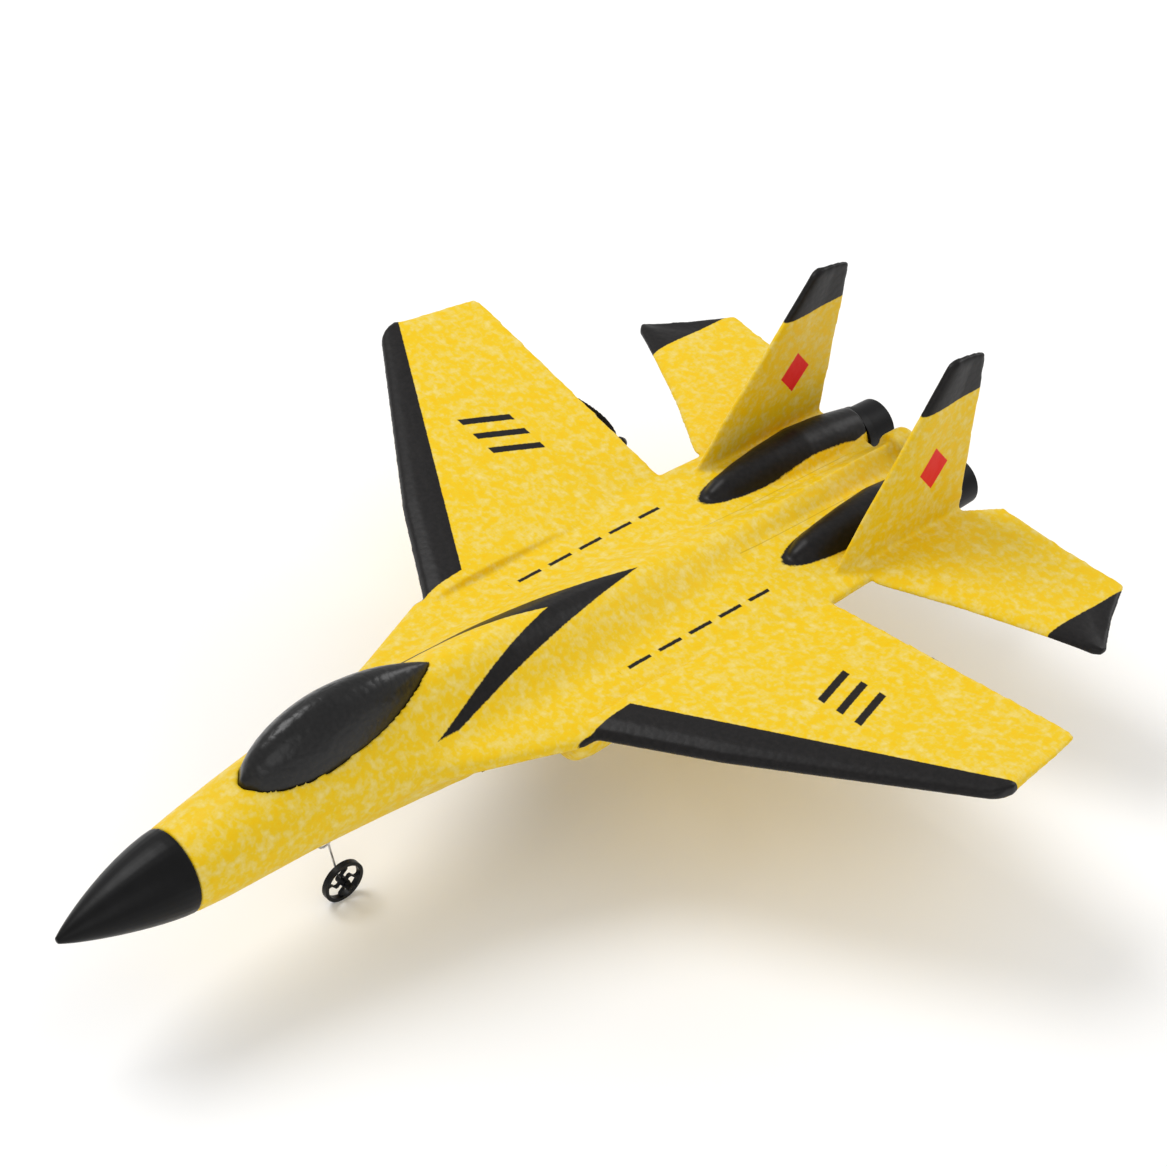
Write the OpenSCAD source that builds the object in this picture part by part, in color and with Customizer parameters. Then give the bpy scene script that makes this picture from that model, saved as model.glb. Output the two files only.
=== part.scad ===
// Twin-motor foam jet glider: moulded foam airframe, pusher propellers behind the wing,
// wire landing gear with spoked wheels, and a battery bay under the belly.
// Datum of the airframe: y = 0 at the wing's rear edge at the root, nose towards -Y,
// z = 0 near the wing plane.

/* [Airframe] */
// Distance from the wing's rear edge at the root forward to the nose tip
nose_y = 279; // [270:1:290]
// Half span, to the front corner of the wing tip
half_span = 147.8; // [140:0.2:155]
// Distance from the centre plane to the wing root
root_x = 41.5; // [40:0.5:43]
// Height of the wing tip above the datum plane
tip_z = 10.5; // [6:0.5:14]
// Thickness of the wing foam at the root
wing_t = 10.5; // [7:0.5:11]
// Height of the fins above the datum plane
fin_z = 64.5; // [58:0.5:68]

/* [Drive] */
// Distance from the centre plane to each motor
motor_x = 70; // [66:1:74]
// Height of the motor axis
motor_z = -10.5; // [-12:0.5:-9]
// Diameter of each propeller
prop_d = 46; // [40:1:50]
// Diameter of the motor can
motor_d = 7; // [6:0.5:8]

/* [Landing gear] */
// Diameter of each wheel
wheel_d = 15.2; // [12:0.2:18]
// Height of the axles, below the datum plane
axle_z = -54.6; // [-58:0.2:-50]
// Diameter of the spring wire
wire_d = 0.8; // [0.6:0.1:1.2]

/* [Hidden] */

FOAM = "gold";
BLACK = [0.08, 0.08, 0.08];
STEEL = "silver";

tail_y = 86.4;                           // rearmost corner of the stabilizer
shift_y = (nose_y - tail_y) / 2;         // puts the origin midway between nose and tail
ground_z = axle_z - wheel_d / 2;
wire_r = wire_d / 2;
fit = 0.05;                              // radial clearance of everything that turns

// Puts the airframe datum where the stored frame has it: bottom centre of the whole object.
module place() translate([0, shift_y, -ground_z]) children();
module both(side) { if (side > 0) children(); else mirror([1, 0, 0]) children(); }

// ---- lofts -----------------------------------------------------------------------------
// rings: equal-length closed rings of points, each one clockwise seen from the next ring's side.
function loft_sides(n, m) = [for (j = [0 : m - 2], i = [0 : n - 1])
    let (a = j * n + i, b = j * n + (i + 1) % n) each [[a, b, b + n], [a, b + n, a + n]]];
function loft_ends(n, m) = [[for (i = [n - 1 : -1 : 0]) i], [for (i = [0 : n - 1]) (m - 1) * n + i]];
module loft(rings) {
    n = len(rings[0]);
    m = len(rings);
    polyhedron(points = [for (r = rings) each r],
               faces = concat(loft_sides(n, m), loft_ends(n, m)), convexity = 6);
}

// ---- fuselage --------------------------------------------------------------------------
// Stations: y, half width, seam height, top plate, top hump, hump half width,
// bottom plate, keel depth, keel half width, edge roundness exponent.
FUSELAGE = [
    [-236, 14.2, -10.5, 14.2,  0.0, 14, 14.2,  0.0, 14, 0.50],
    [-226, 15.6, -10.0, 16.0,  0.0, 15, 14.4,  0.0, 15, 0.50],
    [-212, 16.8,  -8.8, 18.4,  0.0, 16, 14.8,  0.0, 16, 0.50],
    [-195, 18.2,  -7.2, 20.0,  0.0, 18, 15.6,  0.0, 18, 0.50],
    [-178, 19.8,  -5.6, 18.5,  3.0, 19, 14.6,  2.6, 19, 0.48],
    [-165, 21.2,  -4.6, 14.0,  8.2, 20, 11.4,  6.6, 20, 0.45],
    [-157, 22.6,  -4.0, 10.5, 12.0, 21,  9.0,  9.2, 21, 0.42],
    [-147, 26.2,  -3.7,  7.6, 14.8, 22,  7.0, 11.2, 22, 0.38],
    [-137, 30.0,  -3.5,  6.0, 16.2, 23,  6.0, 12.4, 23, 0.34],
    [-122, 36.0,  -3.2,  5.2, 16.0, 24,  5.2, 13.0, 24, 0.32],
    [-108, 41.5,  -3.0,  5.0, 14.8, 25,  5.0, 13.0, 25, 0.30],
    [ -88, 41.5,  -3.0,  5.0, 13.0, 25,  5.0, 12.4, 25, 0.30],
    [ -66, 41.5,  -3.0,  5.0, 10.8, 24,  5.0, 11.0, 24, 0.30],
    [ -48, 41.5,  -3.0,  5.0,  9.0, 21,  5.0,  9.6, 24, 0.30],
    [ -30, 41.5,  -3.0,  4.8,  6.4, 17,  4.8,  8.0, 22, 0.30],
    [ -12, 41.5,  -3.0,  4.5,  4.8, 12,  4.5,  6.0, 20, 0.30],
    [   6, 41.5,  -3.0,  4.2,  4.4,  9,  4.2,  4.0, 18, 0.30],
    [  30, 40.5,  -3.0,  3.8,  5.0,  8,  3.8,  2.4, 16, 0.30],
    [  52, 38.8,  -3.0,  3.2,  5.6,  7,  3.2,  1.4, 14, 0.30],
    [  69, 37.0,  -3.0,  2.6,  6.0,  6,  2.6,  0.6, 12, 0.30]
];
SECTION_N = 36;                          // points across a half section
function bump(u) = (1 + cos(180 * min(1, abs(u)))) / 2;
function keel(u) = pow(max(0, 1 - pow(abs(u), 4)), 0.6);
function plate_z(s, x, plate) = plate * pow(max(0, 1 - pow(x / s[1], 2)), s[9]);
function crown_z(s, x) = plate_z(s, x, s[3]) + s[4] * bump(x / s[5]);
function belly_z(s, x) = plate_z(s, x, s[6]) + s[7] * keel(x / s[8]);
// A half section, from the +X edge over the crown to the -X edge, closed along the seam.
function half_section(s, up) = [for (i = [0 : SECTION_N])
    let (t = 180 * i / SECTION_N, x = s[1] * cos(t))
    [x, s[0], s[2] + (up > 0 ? crown_z(s, x) : -belly_z(s, x))]];
function reversed(r) = [for (i = [len(r) - 1 : -1 : 0]) r[i]];

tray = [30, 54, 14.5];                   // outer size of the battery tray's box
tray_y = -99;                            // its centre
tray_top = -5;
tray_wall = 1.2;
flange = [34, 58, 1.6];
bay_top = 4;                             // roof of the receiver pocket above the tray
flange_z = tray_top - tray[2];           // top of the flange; its face is flange[2] lower

// The pockets that the glued-in pieces leave in both fuselage shells.
module seats() {
    for (side = [-1, 1]) both(side) {
        engine_body();
        wing_panel();
        stabilizer_panel();
        fin_panel();
    }
    spar();
}

module box(size, y, z_low) translate([-size[0] / 2, y - size[1] / 2, z_low]) cube(size);

module fuselage_top() color(FOAM) place() difference() {
    loft([for (s = FUSELAGE) half_section(s, 1)]);
    box([26, 50, bay_top + 20], tray_y, -20);
    canopy_shape();
    seats();
}

module fuselage_bottom() color(FOAM) place() difference() {
    loft([for (s = FUSELAGE) reversed(half_section(s, -1))]);
    box([tray[0], tray[1], 40], tray_y, flange_z - 10);
    box([flange[0], flange[1], 20], tray_y, flange_z - 20);
    box([switch_size[0], switch_size[1], 30], switch_y, switch_z);
    box([switch_size[0], switch_size[1], 30], switch_y, switch_z - 29);
    for (side = [-1, 1]) both(side) {
        intake_body();
        lead_tube();
    }
    for (g = GEAR) socket_hole(g);
    seats();
}

// ---- nose cone, canopy, tail boom --------------------------------------------------------
cone_y = -236;
cone_r = 14.2;
cone_z = -10.5;
cone_len = nose_y + cone_y;
cone_drop = 2.5;                         // the tip sits a little lower than the base centre
CONE_RINGS = 18;
function cone_radius(u) = cone_r * pow(max(0, 1 - pow(u, 1.4)), 0.9) + 0.9 * u;
module nose_cone() color(BLACK) place() {
    loft([for (i = [0 : CONE_RINGS]) let (u = sin(90 * i / CONE_RINGS), r = max(1.1, cone_radius(u)))
        [for (k = [0 : 35]) let (a = 10 * k)
            [r * cos(a), cone_y - cone_len * u, cone_z - cone_drop * u * u - r * sin(a)]]]);
}

canopy_front = -211;
canopy_back = -137;
canopy_w = 11.4;
CANOPY_RINGS = 20;
// Height of the fuselage crown at any y, by straight lines between the stations.
function crown(y) = let (k = max([for (i = [0 : len(FUSELAGE) - 2]) FUSELAGE[i][0] <= y ? i : 0]),
    a = FUSELAGE[k], b = FUSELAGE[k + 1], t = (y - a[0]) / (b[0] - a[0]))
    (a[2] + a[3] + a[4]) * (1 - t) + (b[2] + b[3] + b[4]) * t;
function canopy_half(u) = canopy_w * pow(sin(180 * pow(u, 0.72)), 0.62);
function canopy_rise(u) = 13.1 * pow(sin(180 * pow(u, 0.66)), 0.85);
canopy_sink = 7;                         // how deep the canopy block sits in the fuselage
module canopy_shape() {
    loft([for (i = [0 : CANOPY_RINGS]) let (u = 0.004 + 0.992 * i / CANOPY_RINGS,
        y = canopy_front + u * (canopy_back - canopy_front), w = canopy_half(u), c = crown(y))
        [for (k = [0 : 24]) let (a = 7.5 * k)
            [w * cos(a), y, c - canopy_sink + (canopy_rise(u) + canopy_sink) * sin(a)]]]);
}
module canopy() color(BLACK) place() canopy_shape();

boom_r = 5.2;
module tail_boom() color(FOAM) place() translate([0, 69, 2.4]) rotate([-90, 0, 0])
    rotate_extrude($fn = 48) polygon([[0, 0], [boom_r, 0], [boom_r, 7],
        for (a = [0 : 10 : 90]) [boom_r * cos(a), 7 + 4 * sin(a)]]);

// ---- engine fairings, nozzles, intakes ----------------------------------------------------
engine_x = 20;
engine_z = -3;
ENGINE = [[1, 3.0, 0.5], [4, 6.2, 0.2], [9, 8.8, 0], [18, 10.6, 0], [30, 12.2, -0.2],
    [44, 13.6, -0.8], [58, 13.1, -1.8], [72, 11.5, -3.0]];
// Stations: y, radius, offset of the centre from engine_z. The section is a little narrow.
function engine_ring(s) = [for (k = [0 : 31]) let (a = 11.25 * k)
    [engine_x + (s[1] - 1.4) * 0.86 * cos(a), s[0], engine_z + s[2] + s[1] * sin(a)]];
module engine_body() loft([for (s = ENGINE) engine_ring(s)]);
module engine_fairing(side) color(BLACK) place() both(side) engine_body();

nozzle_r = 9;
nozzle_z = -5.8;
module nozzle(side) color(BLACK) place() both(side) translate([engine_x, 72, nozzle_z]) rotate([-90, 0, 0])
    rotate_extrude($fn = 64) polygon([[0, 0], [nozzle_r + 0.9, 0], [nozzle_r + 0.6, 3.2], [nozzle_r, 3.6],
        [nozzle_r - 0.3, 12.6], [nozzle_r - 1.1, 13], [nozzle_r - 1.6, 12.4], [nozzle_r - 2.2, 6], [0, 4.5]]);

// Stations: y, centre x, half width, depth below the top.
INTAKE = [[-108, 30.5, 7, 9], [-106, 30.4, 9, 12], [-100, 30.2, 9.8, 13.4], [-80, 29, 10.2, 13.8],
    [-50, 26.6, 10.4, 13.2], [-24, 23.8, 10.2, 12], [0, 21, 9.6, 10.6], [16, 20, 8.6, 8.6]];
INTAKE_TOP = -5.2;
function intake_ring(s) = concat([[s[1] - s[2], s[0], INTAKE_TOP]],
    [for (k = [0 : 12]) let (a = -180 + 15 * k)
        [s[1] + s[2] * cos(a), s[0], INTAKE_TOP - 2 + (s[3] - 2) * sin(a)]],
    [[s[1] + s[2], s[0], INTAKE_TOP]]);
module intake_body() loft([for (s = INTAKE) intake_ring(s)]);
module intake(side) color(FOAM) place() difference() {
    both(side) intake_body();
    both(side) engine_body();
    both(side) wing_panel();
    box([flange[0], flange[1], 20], tray_y, flange_z - 20);
    box([tray[0], tray[1], 40], tray_y, flange_z - 10);
    for (g = GEAR) socket_hole(g);
}

// ---- wings, stabilizers, fins --------------------------------------------------------------
root_le = -107.7;
root_z = -2.2;
tip_le = -34.9;
tip_te = 5.1;
tip_t = 5.4;
AIRFOIL_N = 12;                          // points on each face of a section
edge_t = 1.9;                            // thickness of a rear edge
function foil(u, t) = max(edge_t / 2 * min(1, u * 30), t / 2 * 4 * (sqrt(u) - u) * (1 - 0.25 * u));
// A closed section at x: rear edge, over the top to the front, back along the underside.
function foil_ring(x, le, te, z, t) = concat(
    [for (i = [AIRFOIL_N : -1 : 0]) let (u = (1 - cos(180 * i / AIRFOIL_N)) / 2)
        [x, le + (te - le) * u, z + 1.15 * foil(u, t)]],
    [for (i = [1 : AIRFOIL_N]) let (u = (1 - cos(180 * i / AIRFOIL_N)) / 2)
        [x, le + (te - le) * u, z - 0.85 * foil(u, t)]]);
WING = [[-0.045, 4, 0], [0.33, 0, 0], [0.66, 0, 0], [0.92, 0, 0], [0.955, 0, 1.2], [0.975, 0.3, 12],
    [0.99, 1.8, 25], [1, 6, 33]];        // share of span, front trim, rear trim
module wing_panel() loft([for (w = WING) let (k = w[0], x = root_x + (half_span - root_x) * k)
    reversed(foil_ring(x, root_le + (tip_le - root_le) * k + w[1], (tip_te + 0.4) * k - w[2],
        root_z + (tip_z - root_z) * k, wing_t + (tip_t - wing_t) * k))]);
spar_y = -46;
spar_z = -2.4;
spar_r = 1;
spar_len = 82;
module spar() translate([0, spar_y, spar_z]) rotate([0, 90, 0])
    cylinder(r = spar_r, h = spar_len, center = true, $fn = 24);
module wing(side) color(FOAM) place() difference() {
    both(side) wing_panel();
    both(side) mount_shoe();
    spar();
}
module wing_spar() color(BLACK) place() spar();

tail_root_x = 36;
tail_half_span = 111.2;
tail_t = 3.6;
TAIL = [[0, 20, 69.5, -2.2], [0.1, 18.6, 81.2, -2.3], [0.45, 34.4, 83.4, -4], [0.77, 46.6, 86.4, -5.2],
    [0.88, 50.8, 71, -5.7], [0.97, 54, 61.5, -6.1], [1, 56.5, 58.5, -6.2]];
// Stations: share of span, front edge, rear edge, height.
module stabilizer_panel() loft([for (s = TAIL)
    reversed(foil_ring(tail_root_x + (tail_half_span - tail_root_x) * s[0], s[1], s[2], s[3], tail_t))]);
module stabilizer(side) color(FOAM) place() both(side) stabilizer_panel();

fin_x = 33.4;
FIN = [[-0.06, 8.5, 68.6], [0, 9.5, 68.8], [0.25, 20.2, 69.6], [0.5, 32, 70.4],
    [0.75, 43.6, 71.4], [0.9, 50.6, 71.8],
    [0.96, 53.4, 71.6], [0.985, 54.6, 66], [1, 57, 60]];
fin_base = 0.9;                          // where the fin leaves the body
fin_lean = 0.03;                         // inward lean, as a share of the height
fin_t = 3.4;
// Stations: share of height, front edge, rear edge.
function fin_ring(z, le, te) =
    [for (p = foil_ring(0, le, te, 0, fin_t)) [fin_x - fin_lean * z + p[2], p[1], z]];
module fin_panel() loft([for (s = FIN) fin_ring(fin_base + (fin_z - fin_base) * s[0], s[1], s[2])]);
module fin(side) color(FOAM) place() difference() {
    both(side) fin_panel();
    both(side) stabilizer_panel();
}

// ---- drive ----------------------------------------------------------------------------------
motor_back = 2;                          // the motor's shaft end
motor_len = 16;
prop_y = 8;
shaft_r = 0.5;
mount_wall = 1.2;
module along_y(y) translate([motor_x, y, motor_z]) rotate([-90, 0, 0]) children();
dihedral = atan((tip_z - root_z) / (half_span - root_x));
shoe = [10, 12, 1.4];
shoe_z = -0.9;                           // lower face of the shoe, which is let into the wing's underside
module mount_shoe() translate([motor_x, motor_back - 9, shoe_z]) rotate([0, -dihedral, 0])
    translate([-shoe[0] / 2, -shoe[1] / 2, 0]) cube(shoe);
module motor_mount(side) color(BLACK) place() both(side) difference() {
    union() {
        along_y(motor_back - motor_len + 1)
            cylinder(d = motor_d + 2 * mount_wall, h = motor_len - 3, $fn = 64);
        translate([motor_x - 1.2, motor_back - 14, motor_z + 3]) cube([2.4, 10, shoe_z - motor_z - 2.4]);
        mount_shoe();
    }
    along_y(motor_back - motor_len - 1) cylinder(d = motor_d, h = motor_len + 4, $fn = 64);
}
module motor(side) color(STEEL) place() both(side) difference() {
    along_y(motor_back - motor_len) {
        cylinder(d = motor_d, h = motor_len, $fn = 64);
        cylinder(d = 2.4, h = motor_len + 0.8, $fn = 32);
    }
    along_y(motor_back - 9) cylinder(r = shaft_r + fit, h = 12, $fn = 32);
}
module motor_shaft(side) color(STEEL) place() both(side)
    along_y(motor_back - 8) cylinder(r = shaft_r, h = 16, $fn = 32);

hub_r = 2.4;
hub_len = 4;
BLADE_N = 10;
// A blade section at radius r: a thin lens, pitched about the blade's own axis.
function blade_ring(r, chord, pitch, t) =
    [for (k = [0 : 11]) let (a = 30 * k, c = chord / 2 * cos(a), h = t / 2 * sin(a))
    [r, c * sin(pitch) + h * cos(pitch), c * cos(pitch) - h * sin(pitch)]];
module blade() loft([for (i = [0 : BLADE_N]) let (u = i / BLADE_N, r = 1.6 + (prop_d / 2 - 1.6) * u)
    blade_ring(r, 3 + 4.6 * pow(sin(180 * pow(min(0.985, u), 0.75)), 0.8), 48 - 30 * u, 1.3 - 0.6 * u)]);
prop_angle = 14;                         // the outboard blade stands a little high at rest
module propeller(side) color(BLACK) place() both(side) translate([motor_x, prop_y, motor_z])
    rotate([0, -prop_angle, 0]) difference() {
        union() {
            for (a = [0, 180]) rotate([0, a, 0]) blade();
            rotate([-90, 0, 0]) translate([0, 0, -hub_len / 2]) cylinder(r = hub_r, h = hub_len, $fn = 48);
            rotate([-90, 0, 0]) translate([0, 0, hub_len / 2])
                cylinder(r1 = hub_r, r2 = hub_r * 0.6, h = 1.4, $fn = 48);
        }
        rotate([-90, 0, 0]) translate([0, 0, -hub_len]) cylinder(r = shaft_r, h = hub_len + 2, $fn = 32);
    }

lead_r = 0.6;
// The lead runs from the receiver board, out under the wing root, and along the wing to the motor.
LEAD = [[10.9, -86, -3.2], [15, -76, -4.4], [38, -22, -4.4], [45, -17, -4.4],
    [62, -15.5, -1.9], [66, -16.6, -3.4],
    [motor_x - 1.6, motor_back - motor_len - 1.6, motor_z + 3.2],
    [motor_x - 1.4, motor_back - motor_len, motor_z + 1]];
module lead_tube() tube(LEAD, lead_r);
module motor_lead(side) color("firebrick") place() both(side) lead_tube();

// ---- battery bay ------------------------------------------------------------------------------
hatch_t = 1.2;
hatch = [tray[0] - 2 * tray_wall - 0.6, tray[1] - 2 * tray_wall - 0.8, hatch_t];
hatch_z = flange_z - flange[2] + 0.3;    // underside of the hatch, just above the flange's face
pin_r = 0.55;
pin_x = hatch[0] / 2 - 1;                // the hatch hangs on its long port edge
pin_z = hatch_z + hatch_t / 2;
module pins(r, h) translate([pin_x, tray_y, pin_z]) rotate([90, 0, 0])
    cylinder(r = r, h = h, center = true, $fn = 32);

module battery_tray() color(BLACK) place() difference() {
    union() {
        box(tray, tray_y, flange_z);
        box(flange, tray_y, flange_z - flange[2]);
    }
    box([tray[0] - 2 * tray_wall, tray[1] - 2 * tray_wall, tray[2] + 5], tray_y, flange_z - 5 - tray_wall);
    pins(pin_r + fit, tray[1] + 1.2);
}
module battery_hatch() color(BLACK) place() union() {
    difference() {
        box(hatch, tray_y, hatch_z);
        translate([-hatch[0] / 2 + 2, tray_y - 6, hatch_z - 1]) cube([2, 12, 1.6]);
    }
    pins(pin_r, tray[1] + 0.6);
}
battery_size = [20, 36, 8.5];
module battery() color("silver") place() box(battery_size, tray_y, tray_top - tray_wall - battery_size[2]);
module battery_plug() color("white") place()
    translate([3, tray_y + battery_size[1] / 2, tray_top - tray_wall - 4.5]) {
    cube([6, 5, 4.5]);
}
module receiver_board() color("green") place() union() {
    box([24, 40, 1.2], tray_y, tray_top);
    box([9, 9, 1.4], tray_y - 8, tray_top + 1.2);
    box([6, 7, 1.6], tray_y + 8, tray_top + 1.2);
    for (x = [-8, 8]) translate([x, tray_y + 15, tray_top + 1.2]) cylinder(d = 4, h = 4, $fn = 32);
}
module antenna() color("dimgray") place() translate([6, tray_y - 20, tray_top + 1.2 + 0.5])
    rotate([-90, 0, 0]) cylinder(r = 0.5, h = 24, $fn = 24);

switch_y = -58;
switch_size = [11, 6, 5];
switch_z = -17;                          // underside of the switch body
switch_travel = 2;
module switch_body() color(BLACK) place() difference() {
    box(switch_size, switch_y, switch_z);
    box([6.4, 2.8, 3], switch_y, switch_z - 0.5);
}
module switch_slider() color("silver") place() translate([-switch_travel / 2, 0, 0]) {
    box([2.2, 2.2, 3.4], switch_y, switch_z - 1.2);
}

// ---- landing gear -------------------------------------------------------------------------------
socket_r = 2.2;
socket_h = 6;
main_gear_x = 24;
// Each gear leg: x and y of its socket, height of the socket's lower face, side that the wheel is on.
GEAR = [[-1.1, -174.3, -23.6, 1], [main_gear_x, -16, -17.4, 1], [-main_gear_x, -16, -17.4, -1]];
axle_dy = 3.2;                           // the leg slants back to the axle
module socket_hole(g) translate([g[0], g[1], g[2]]) cylinder(r = socket_r, h = socket_h, $fn = 32);
module socket(g) color(BLACK) place() difference() {
    translate([g[0], g[1], g[2]]) union() {
        cylinder(r = socket_r, h = socket_h, $fn = 32);
        cylinder(r = socket_r + 0.8, h = 0.8, $fn = 32);
    }
    translate([g[0], g[1], g[2] - 1]) cylinder(r = wire_r, h = socket_h - 0.2, $fn = 24);
}

wheel_t = 2;
wheel_hub_r = 1.5;
wheel_hub_len = 4;
rim_w = 1.3;
wheel_gap = 2.6;                         // wire to the middle of the wheel
// A wheel about X, centred at the origin, with four S-shaped spokes.
module wheel_shape() rotate([0, 90, 0]) difference() {
    union() {
        difference() {
            cylinder(d = wheel_d, h = wheel_t, center = true, $fn = 96);
            cylinder(d = wheel_d - 2 * rim_w, h = wheel_t + 2, center = true, $fn = 96);
        }
        cylinder(r = wheel_hub_r, h = wheel_hub_len, center = true, $fn = 48);
        for (a = [0 : 90 : 270]) rotate([0, 0, a]) spoke();
    }
    cylinder(r = wire_r + fit, h = wheel_hub_len + 2, center = true, $fn = 32);
}
spoke_w = 0.8;
spoke_t = 1.2;
module spoke() linear_extrude(height = spoke_t, center = true) {
    inner = wheel_hub_r - 0.2;
    outer = wheel_d / 2 - rim_w + 0.2;
    polygon(concat(
        [for (i = [0 : 6]) let (r = inner + (outer - inner) * i / 6, s = 1.1 * sin(360 * i / 6))
            [r, s + spoke_w / 2]],
        [for (i = [6 : -1 : 0]) let (r = inner + (outer - inner) * i / 6, s = 1.1 * sin(360 * i / 6))
            [r, s - spoke_w / 2]]));
}
function wheel_x(g) = g[0] + g[3] * wheel_gap;
module wheel(g) color(BLACK) place() translate([wheel_x(g), g[1] + axle_dy, axle_z]) wheel_shape();

// Coil of the spring wire, one full turn about X, as a swept tube.
coil_r = 2.4;
coil_z = -36;
WIRE_SIDES = 8;
COIL_STEPS = 15;
coil_shift = 1.1;                        // sideways step of one turn of the coil
function coil_point(g, i) = let (a = 360 * i / COIL_STEPS)
    [g[0] - g[3] * coil_shift * i / COIL_STEPS, g[1] - coil_r + coil_r * cos(a), coil_z - coil_r * sin(a)];
// Centre line of a gear wire, from its socket down through the coil to the axle's end.
function gear_path(g) = let (d = g[3], x = g[0] - d * coil_shift, y = g[1] + axle_dy) concat(
    [[g[0], g[1], g[2] + socket_h - 1.2], [g[0], g[1], coil_z + 3]],
    [for (i = [0 : COIL_STEPS]) coil_point(g, i)],
    [[x, g[1], coil_z - 3], [x + d * 0.3, y - 0.2, axle_z + 3], [x + d * 0.6, y, axle_z + 0.7],
     [x + d * 1.3, y, axle_z], [wheel_x(g) + d * 4.4, y, axle_z]]);
function unit(v) = v / norm(v);
function path_dir(p, i) = unit(p[min(i + 1, len(p) - 1)] - p[max(i - 1, 0)]);
function tube_ring(c, t, r) =
    let (b = abs(t[1]) < 0.9 ? [0, 1, 0] : [1, 0, 0], u = unit(cross(t, b)), v = cross(t, u))
    [for (k = [0 : WIRE_SIDES - 1]) let (a = 360 * k / WIRE_SIDES) c + r * (cos(a) * u - sin(a) * v)];
module tube(path, r) loft([for (i = [0 : len(path) - 1]) tube_ring(path[i], path_dir(path, i), r)]);
module gear_wire(g) color(STEEL) place() tube(gear_path(g), wire_r);

cap_r = 1.3;
module axle_cap(g) color(BLACK) place() translate([wheel_x(g) + g[3] * 2.3, g[1] + axle_dy, axle_z])
    rotate([0, g[3] * 90, 0]) difference() {
        cylinder(r = cap_r, h = 2.4, $fn = 32);
        translate([0, 0, -1]) cylinder(r = wire_r, h = 5, $fn = 24);
    }

fuselage_top();
fuselage_bottom();
nose_cone();
canopy();
wing(1);  // left_wing
wing(-1);  // right_wing
stabilizer(1);  // left_stabilizer
stabilizer(-1);  // right_stabilizer
fin(1);  // left_fin
fin(-1);  // right_fin
engine_fairing(1);  // left_engine_fairing
engine_fairing(-1);  // right_engine_fairing
nozzle(1);  // left_nozzle
nozzle(-1);  // right_nozzle
intake(1);  // left_intake
intake(-1);  // right_intake
tail_boom();
wing_spar();
motor_mount(1);  // left_motor_mount
motor_mount(-1);  // right_motor_mount
motor(1);  // left_motor
motor(-1);  // right_motor
motor_shaft(1);  // left_motor_shaft
motor_shaft(-1);  // right_motor_shaft
propeller(1);  // left_propeller
propeller(-1);  // right_propeller
motor_lead(1);  // left_motor_lead
motor_lead(-1);  // right_motor_lead
battery_tray();
battery_hatch();
battery();
battery_plug();
receiver_board();
antenna();
switch_body();
switch_slider();
gear_wire(GEAR[0]);  // nose_gear_wire
gear_wire(GEAR[1]);  // left_gear_wire
gear_wire(GEAR[2]);  // right_gear_wire
socket(GEAR[0]);  // nose_gear_socket
socket(GEAR[1]);  // left_gear_socket
socket(GEAR[2]);  // right_gear_socket
wheel(GEAR[0]);  // nose_wheel
wheel(GEAR[1]);  // left_wheel
wheel(GEAR[2]);  // right_wheel
axle_cap(GEAR[0]);  // nose_axle_cap
axle_cap(GEAR[1]);  // left_axle_cap
axle_cap(GEAR[2]);  // right_axle_cap
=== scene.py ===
"""Foam radio-controlled jet glider: the looks of every piece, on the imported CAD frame.

Sizes are metres unless a name says mm. Places in the paint scheme are millimetres from the
airframe's datum: y = 0 at the wing's rear edge at the root, nose towards -y, z = 0 near the wing plane.
"""
import math

import bmesh
import bpy
from mathutils import Matrix, Vector


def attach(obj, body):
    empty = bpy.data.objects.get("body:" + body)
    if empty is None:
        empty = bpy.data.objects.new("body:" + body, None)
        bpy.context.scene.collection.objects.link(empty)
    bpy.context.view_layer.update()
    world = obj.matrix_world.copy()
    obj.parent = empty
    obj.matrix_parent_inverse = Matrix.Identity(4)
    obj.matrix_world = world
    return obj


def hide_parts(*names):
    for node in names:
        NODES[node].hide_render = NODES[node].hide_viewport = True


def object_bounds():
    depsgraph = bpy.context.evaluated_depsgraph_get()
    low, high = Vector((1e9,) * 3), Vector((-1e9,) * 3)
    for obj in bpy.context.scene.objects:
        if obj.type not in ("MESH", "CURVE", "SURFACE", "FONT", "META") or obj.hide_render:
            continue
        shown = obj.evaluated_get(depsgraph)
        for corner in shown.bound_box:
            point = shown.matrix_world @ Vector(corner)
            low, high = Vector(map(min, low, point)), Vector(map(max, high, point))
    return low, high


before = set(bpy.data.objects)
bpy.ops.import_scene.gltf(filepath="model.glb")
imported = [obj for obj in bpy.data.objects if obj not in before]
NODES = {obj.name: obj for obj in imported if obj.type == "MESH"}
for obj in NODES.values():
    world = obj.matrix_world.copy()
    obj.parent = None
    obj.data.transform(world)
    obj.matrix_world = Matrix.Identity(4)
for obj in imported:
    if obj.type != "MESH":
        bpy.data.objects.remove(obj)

CAD_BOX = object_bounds()
MM = 0.001
SIDES = ("left", "right")

# The airframe's datum in the frame: the wheels stand on z = 0, and y = 0 is midway from nose to tail.
NOSE_Y = 279.0
DATUM_Y = CAD_BOX[0][1] / MM + NOSE_Y
DATUM_Z = 62.2


# The camera: from the port bow, high up, with a slight roll. Angles are radians.
AZIMUTH, ELEVATION, ROLL = 0.785416, 0.707934, 0.081605
CAMERA_FROM_DATUM = Vector((0.62347, -0.69639, 0.77141))
SENSOR_MM = 36
LENS_MM = 112.33

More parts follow.
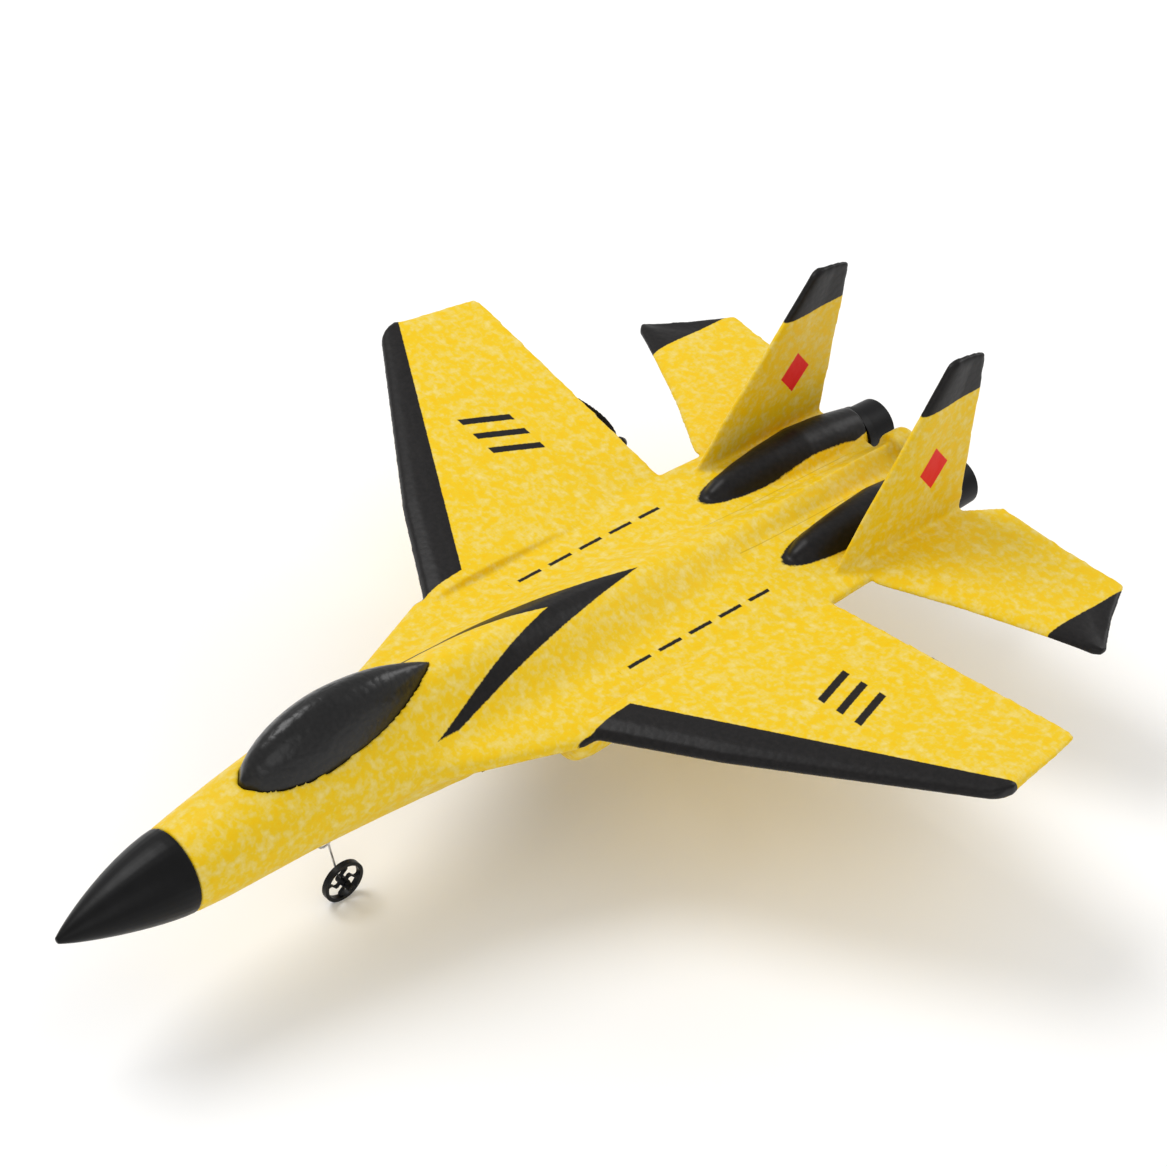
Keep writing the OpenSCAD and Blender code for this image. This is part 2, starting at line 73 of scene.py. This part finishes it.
# The studio. A light is its name, place, size and power, and it points at LIT_POINT.
FLOOR_REACH = 6.0
FLOOR_GREY = 0.93
WORLD_STRENGTH = 0.7
LIT_POINT = Vector((0, 0, 0.05))
LIGHTS = [
    ("key", (-0.9, -0.3, 1.5), 0.9, 14),
    ("fill", (1.3, -0.9, 0.9), 1.2, 4),
    ("rim", (0.2, 1.5, 0.9), 0.8, 6),
]


def link(obj):
    bpy.context.scene.collection.objects.link(obj)
    return obj


# ---- camera, floor and light -----------------------------------------------------------------
def add_camera():
    """The view of the finished picture."""
    flat = math.cos(ELEVATION)
    back = Vector((math.sin(AZIMUTH) * flat, -math.cos(AZIMUTH) * flat, math.sin(ELEVATION)))
    level = Vector((math.cos(AZIMUTH), math.sin(AZIMUTH), 0))
    upright = back.cross(level)
    right = math.cos(ROLL) * level + math.sin(ROLL) * upright
    up = -math.sin(ROLL) * level + math.cos(ROLL) * upright
    place = CAMERA_FROM_DATUM + Vector((0, DATUM_Y, DATUM_Z)) * MM
    data = bpy.data.cameras.new("camera")
    data.sensor_width = SENSOR_MM
    data.lens = LENS_MM
    camera = link(bpy.data.objects.new("camera", data))
    turn = Matrix((right, up, back)).transposed().to_4x4()
    camera.matrix_world = Matrix.Translation(place) @ turn
    bpy.context.scene.camera = camera


def add_area_light(name, place, size, power):
    data = bpy.data.lights.new(name, "AREA")
    data.shape = "DISK"
    data.size = size
    data.energy = power
    light = link(bpy.data.objects.new(name, data))
    light.location = place
    light.rotation_euler = (LIT_POINT - Vector(place)).to_track_quat("-Z", "Y").to_euler()


def add_stage():
    mesh = bpy.data.meshes.new("floor")
    signs = ((-1, -1), (1, -1), (1, 1), (-1, 1))
    mesh.from_pydata([(x * FLOOR_REACH, y * FLOOR_REACH, 0) for x, y in signs], [], [(0, 1, 2, 3)])
    floor = link(bpy.data.objects.new("floor", mesh))
    material, _, shader = new_material("pale_floor")
    shader.inputs["Base Color"].default_value = (FLOOR_GREY, FLOOR_GREY, FLOOR_GREY, 1)
    shader.inputs["Roughness"].default_value = 0.95
    mesh.materials.append(material)
    world = bpy.data.worlds.new("studio")
    bpy.context.scene.world = world
    world.use_nodes = True
    background = world.node_tree.nodes["Background"]
    background.inputs["Color"].default_value = (1, 1, 1, 1)
    background.inputs["Strength"].default_value = WORLD_STRENGTH
    for light in LIGHTS:
        add_area_light(*light)
    bpy.context.scene.view_settings.view_transform = "Standard"


# ---- numbers that shader nodes work out at each point ----------------------------------------
class Field:
    """A number at each point of a surface, made of Math nodes."""

    def __init__(self, tree, socket):
        self.tree = tree
        self.socket = socket

    def math(self, operation, *others):
        node = self.tree.nodes.new("ShaderNodeMath")
        node.operation = operation
        for slot, value in enumerate((self, *others)):
            if isinstance(value, Field):
                self.tree.links.new(value.socket, node.inputs[slot])
            else:
                node.inputs[slot].default_value = value
        return Field(self.tree, node.outputs[0])

    def __add__(self, other):
        return self.math("ADD", other)

    def __sub__(self, other):
        return self.math("SUBTRACT", other)

    def __mul__(self, other):
        return self.math("MULTIPLY", other)

    def __neg__(self):
        return self * -1.0

    def __abs__(self):
        return self.math("ABSOLUTE")

    def least(self, *others):
        """Where every one is positive, so is the result: all the edges hold."""
        result = self
        for other in others:
            result = result.math("MINIMUM", other)
        return result

    def most(self, *others):
        result = self
        for other in others:
            result = result.math("MAXIMUM", other)
        return result

    def edge(self, soft):
        """0 outside, 1 inside, with a boundary about soft millimetres wide."""
        node = self.tree.nodes.new("ShaderNodeMath")
        node.operation = "MULTIPLY_ADD"
        node.use_clamp = True
        self.tree.links.new(self.socket, node.inputs[0])
        node.inputs[1].default_value = 1 / soft
        node.inputs[2].default_value = 0.5
        return Field(self.tree, node.outputs[0])


def new_material(name):
    material = bpy.data.materials.new(name)
    material.use_nodes = True
    tree = material.node_tree
    return material, tree, tree.nodes["Principled BSDF"]


def object_vector(tree):
    return tree.nodes.new("ShaderNodeTexCoord").outputs["Object"]


def datum_fields(tree):
    """Side distance, y and z in millimetres from the airframe's datum."""
    split = tree.nodes.new("ShaderNodeSeparateXYZ")
    tree.links.new(object_vector(tree), split.inputs[0])
    x, y, z = (Field(tree, split.outputs[i]) * (1 / MM) for i in range(3))
    return abs(x), y - DATUM_Y, z - DATUM_Z


def noise(tree, scale, detail=2.0, rough=0.5):
    node = tree.nodes.new("ShaderNodeTexNoise")
    node.inputs["Scale"].default_value = scale
    node.inputs["Detail"].default_value = detail
    node.inputs["Roughness"].default_value = rough
    tree.links.new(object_vector(tree), node.inputs["Vector"])
    return Field(tree, node.outputs["Fac"])


def bead_cells(tree, scale):
    """The distance to the nearest bead's centre."""
    node = tree.nodes.new("ShaderNodeTexVoronoi")
    node.inputs["Scale"].default_value = scale
    tree.links.new(object_vector(tree), node.inputs["Vector"])
    return Field(tree, node.outputs["Distance"])


def ramp(tree, field, stops):
    node = tree.nodes.new("ShaderNodeValToRGB")
    elements = node.color_ramp.elements
    while len(elements) < len(stops):
        elements.new(0.5)
    for element, (place, colour) in zip(elements, stops):
        element.position = place
        element.color = (*colour, 1)
    tree.links.new(field.socket, node.inputs[0])
    return node.outputs["Color"]


def mix_colour(tree, mask, first, second):
    """first where mask is 0, second where it is 1; each is a socket or a colour."""
    node = tree.nodes.new("ShaderNodeMix")
    node.data_type = "RGBA"
    tree.links.new(mask.socket, node.inputs["Factor"])
    for name, value in (("A", first), ("B", second)):
        sockets = [s for s in node.inputs if s.name == name and s.type == "RGBA"]
        if isinstance(value, tuple):
            sockets[0].default_value = (*value, 1)
        else:
            tree.links.new(value, sockets[0])
    return [s for s in node.outputs if s.type == "RGBA"][0]


def bump(tree, shader, height, strength, distance):
    node = tree.nodes.new("ShaderNodeBump")
    node.inputs["Strength"].default_value = strength
    node.inputs["Distance"].default_value = distance
    tree.links.new(height.socket, node.inputs["Height"])
    tree.links.new(node.outputs["Normal"], shader.inputs["Normal"])


# ---- the paint scheme ------------------------------------------------------------------------
YELLOW = (0.76, 0.51, 0.010)
PALE_YELLOW = (0.74, 0.54, 0.075)
DEEP_YELLOW = (0.78, 0.49, 0.0)
SUN_YELLOW = (0.76, 0.60, 0.17)
LINE_BROWN = (0.45, 0.29, 0.01)
PAINT_BLACK = (0.0035, 0.003, 0.003)
PAINT_GREY = (0.009, 0.0075, 0.0075)
MARK_RED = (0.70, 0.012, 0.01)


def band(field, middle, half_width):
    """Positive within half_width of middle."""
    return -(abs(field - middle)) + half_width


# Each shape below takes the distance from the centre plane, y and z in mm, and is positive inside.
def wing_stripe(x, y, z):
    """The stripe along the wing's front edge, on its upper side only."""
    rear = (x - 39.9) * 0.575 - 89.0
    section_middle = (x - 41.5) * 0.1195 - 2.2
    return (rear - y).least(x - 40.6, z - section_middle + 1.6)


def tail_tips(x, y, z):
    return (x - 95.0).least(y - 40.0, -z + 10.0)


def fin_tips(x, y, z):
    return (z - 48.5).least(-x + 45.0, y - 30.0)


def spine_arrow(x, y, z):
    """A swept double-pointed arrow behind the canopy."""
    outer = (-y - 48.8) * (18.5 / 96.0) - x
    inner = x - (-y - 88.4) * (17.5 / 59.6)
    return outer.least(inner, y + 148.0, z - 4.0)


def engine_patch(x, y, z):
    """The long patch on each engine hump, round at its front."""
    half_width, round_length = 8.2, 31.0
    squash = (half_width / round_length) ** 2
    front = (-y + 30.0).most(0.0)
    across = abs(x - 20.0)
    reach = (across * across + front * front * squash).math("SQRT")
    return (-reach + half_width).least(z - 0.6)


def wing_bars(x, y, z):
    """Three plain slanting bars on each wing, a generic mark."""
    along = x - 84.0 + (y + 34.0) * 0.35
    bars = [band(along, middle, 1.5) for middle in (-8.0, 0.0, 8.0)]
    return bars[0].most(*bars[1:]).least(band(y, -34.0, 9.0), z - 1.0)


def side_lines(x, y, z):
    """A thin broken line along each side of the body, a generic mark."""
    dashes = (y * 0.075).math("FRACT") - 0.28
    return band(x, 26.5, 0.7).least(band(y, -47.0, 33.0), dashes * 10.0, z + 1.0)


def fin_diamond(x, y, z):
    return (-(abs(y - 52.0) * 1.25 + abs(z - 24.0)) + 8.5).least(-x + 45.0)


def panel_lines(x, y, z):
    """Fine moulded lines beside the tail's centre ridge."""
    return band(x, 8.6, 0.16).least(y + 10.0, -y + 66.0, z)


def foam_material():
    """Moulded bead foam: mottled yellow, with matt black paint laid on it."""
    material, tree, shader = new_material("bead_foam")
    x, y, z = datum_fields(tree)
    wobble = (noise(tree, 900) - 0.5) * 0.5

    def painted(shape):
        return (shape(x, y, z) + wobble).edge(0.3)

    blotches = noise(tree, 300, 2.5, 0.6)
    fine = noise(tree, 620)
    tone = blotches * 0.72 + fine * 0.28
    foam = ramp(tree, tone, [(0.36, DEEP_YELLOW), (0.47, YELLOW), (0.56, PALE_YELLOW),
                             (0.70, SUN_YELLOW)])
    lines = panel_lines(x, y, z).edge(0.2)
    foam = mix_colour(tree, lines * 0.5, foam, LINE_BROWN)
    black = painted(wing_stripe).most(painted(tail_tips), painted(fin_tips), painted(spine_arrow),
                                      painted(engine_patch))
    marks = painted(wing_bars).most(painted(side_lines))
    dark = ramp(tree, fine, [(0.3, PAINT_BLACK), (0.75, PAINT_GREY)])
    colour = mix_colour(tree, black.most(marks), foam, dark)
    colour = mix_colour(tree, painted(fin_diamond), colour, MARK_RED)
    tree.links.new(colour, shader.inputs["Base Color"])
    rough = tree.nodes.new("ShaderNodeMapRange")
    tree.links.new(black.socket, rough.inputs["Value"])
    rough.inputs["To Min"].default_value = 0.5
    rough.inputs["To Max"].default_value = 0.4
    tree.links.new(rough.outputs[0], shader.inputs["Roughness"])
    shader.inputs["Subsurface Weight"].default_value = 0.08
    shader.inputs["Subsurface Radius"].default_value = (0.004, 0.003, 0.001)
    shader.inputs["Subsurface Scale"].default_value = 0.4
    shader.inputs["Specular IOR Level"].default_value = 0.2
    beads = bead_cells(tree, 420)
    height = beads * -0.7 + noise(tree, 260) * 0.9 + lines * -1.2
    bump(tree, shader, height, 0.35, 0.00022)
    return material


def canopy_material():
    material, tree, shader = new_material("canopy_paint")
    fine = noise(tree, 700)
    tree.links.new(ramp(tree, fine, [(0.3, (0.002, 0.002, 0.002)), (0.8, (0.008, 0.0075, 0.0075))]),
                   shader.inputs["Base Color"])
    shader.inputs["Roughness"].default_value = 0.3
    shader.inputs["Specular IOR Level"].default_value = 0.35
    beads = bead_cells(tree, 330)
    bump(tree, shader, beads * -1.0 + noise(tree, 300) * 0.8, 0.55, 0.0003)
    return material


def plastic_material(name, colour, roughness, speck=0.25):
    """Injection-moulded plastic: a faint grain and slight changes of tone and gloss."""
    material, tree, shader = new_material(name)
    tone = noise(tree, 140, 4.0)
    lighter = tuple(min(1.0, c * (1 + speck) + 0.001) for c in colour)
    tree.links.new(ramp(tree, tone, [(0.35, colour), (0.7, lighter)]), shader.inputs["Base Color"])
    gloss = tree.nodes.new("ShaderNodeMapRange")
    tree.links.new(noise(tree, 220, 3.0).socket, gloss.inputs["Value"])
    gloss.inputs["To Min"].default_value = roughness - 0.06
    gloss.inputs["To Max"].default_value = roughness + 0.08
    tree.links.new(gloss.outputs[0], shader.inputs["Roughness"])
    shader.inputs["Specular IOR Level"].default_value = 0.14
    bump(tree, shader, noise(tree, 1800), 0.12, 0.00005)
    return material


def metal_material(name, colour, roughness):
    """Drawn or turned steel, with fine lines and a little tarnish."""
    material, tree, shader = new_material(name)
    tone = noise(tree, 500, 4.0)
    darker = tuple(c * 0.72 for c in colour)
    tree.links.new(ramp(tree, tone, [(0.35, darker), (0.65, colour)]), shader.inputs["Base Color"])
    shader.inputs["Metallic"].default_value = 1.0
    shader.inputs["Roughness"].default_value = roughness
    bump(tree, shader, noise(tree, 3000), 0.1, 0.00003)
    return material


# ---- pieces ----------------------------------------------------------------------------------
def apply_modifiers(obj):
    """Leaves the evaluated mesh on the object, with no modifier."""
    depsgraph = bpy.context.evaluated_depsgraph_get()
    mesh = bpy.data.meshes.new_from_object(obj.evaluated_get(depsgraph))
    obj.modifiers.clear()
    old = obj.data
    obj.data = mesh
    bpy.data.meshes.remove(old)


def resurface(name, nodes, voxel, smoothing, material, body="airframe"):
    """One continuous moulded surface over the solids of some CAD nodes, which it replaces."""
    shape = bmesh.new()
    for node in nodes:
        shape.from_mesh(NODES[node].data)
    mesh = bpy.data.meshes.new(name)
    shape.to_mesh(mesh)
    shape.free()
    obj = link(bpy.data.objects.new(name, mesh))
    remesh = obj.modifiers.new("remesh", "REMESH")
    remesh.mode = "VOXEL"
    remesh.voxel_size = voxel
    remesh.use_smooth_shade = True
    smooth = obj.modifiers.new("smooth", "SMOOTH")
    smooth.factor = 0.5
    smooth.iterations = smoothing
    apply_modifiers(obj)
    obj.data.materials.clear()
    obj.data.materials.append(material)
    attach(obj, body)
    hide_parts(*nodes)


def finish_node(node, material, bevel=0.0):
    """Gives a CAD node that stays its material, and soft edges where a bevel width is given."""
    obj = NODES[node]
    obj.data.materials.clear()
    obj.data.materials.append(material)
    if bevel:
        modifier = obj.modifiers.new("edges", "BEVEL")
        modifier.width = bevel
        modifier.segments = 2
        modifier.limit_method = "ANGLE"
        modifier.angle_limit = math.radians(40)


def both(pattern):
    return [pattern.format(side) for side in SIDES]


add_camera()
add_stage()

foam = foam_material()
canopy_paint = canopy_material()
nose_plastic = plastic_material("nose_plastic", (0.003, 0.003, 0.0032), 0.36)
black_plastic = plastic_material("black_plastic", (0.005, 0.005, 0.0055), 0.42)
wheel_plastic = plastic_material("wheel_plastic", (0.004, 0.004, 0.0044), 0.36)
propeller_plastic = plastic_material("propeller_plastic", (0.004, 0.004, 0.0044), 0.3)
wire_steel = metal_material("wire_steel", (0.62, 0.62, 0.63), 0.28)
can_steel = metal_material("can_steel", (0.72, 0.72, 0.74), 0.22)
carbon = plastic_material("carbon_rod", (0.02, 0.02, 0.022), 0.35)
lead_sleeve = plastic_material("lead_sleeve", (0.42, 0.02, 0.015), 0.4)
cell_wrap = plastic_material("cell_wrap", (0.5, 0.52, 0.55), 0.25)
white_plastic = plastic_material("white_plastic", (0.75, 0.74, 0.70), 0.4, speck=0.05)
circuit_board = plastic_material("circuit_board", (0.01, 0.13, 0.05), 0.35)
antenna_sleeve = plastic_material("antenna_sleeve", (0.08, 0.08, 0.08), 0.45)
switch_plastic = plastic_material("switch_plastic", (0.55, 0.55, 0.55), 0.35)

skin_nodes = (["fuselage_top", "fuselage_bottom", "tail_boom"] + both("{}_wing")
              + both("{}_stabilizer") + both("{}_fin") + both("{}_engine_fairing") + both("{}_intake"))
skin_voxel = 0.7 * MM
resurface("foam_skin", skin_nodes, skin_voxel, 7, foam)
resurface("canopy_block", ["canopy"], 0.5 * MM, 4, canopy_paint)
resurface("nose_shell", ["nose_cone"], 0.5 * MM, 3, nose_plastic)
for side in SIDES:
    resurface(f"{side}_blades", [f"{side}_propeller"], 0.22 * MM, 2, propeller_plastic,
              f"{side}_rotor")

for node in both("{}_nozzle"):
    finish_node(node, black_plastic, 0.15 * MM)
for node in ["battery_tray", "battery_hatch", "switch_body"] + both("{}_motor_mount"):
    finish_node(node, black_plastic, 0.2 * MM)
for leg in ("nose", "left", "right"):
    finish_node(f"{leg}_gear_socket", black_plastic, 0.12 * MM)
    finish_node(f"{leg}_gear_wire", wire_steel)
    finish_node(f"{leg}_wheel", wheel_plastic, 0.12 * MM)
    finish_node(f"{leg}_axle_cap", black_plastic, 0.2 * MM)
for node in both("{}_motor"):
    finish_node(node, can_steel, 0.2 * MM)
for node in both("{}_motor_shaft"):
    finish_node(node, wire_steel)
for node in both("{}_motor_lead"):
    finish_node(node, lead_sleeve)
finish_node("wing_spar", carbon)
finish_node("battery", cell_wrap, 0.8 * MM)
finish_node("battery_plug", white_plastic, 0.3 * MM)
finish_node("receiver_board", circuit_board, 0.1 * MM)
finish_node("antenna", antenna_sleeve)
finish_node("switch_slider", switch_plastic, 0.15 * MM)
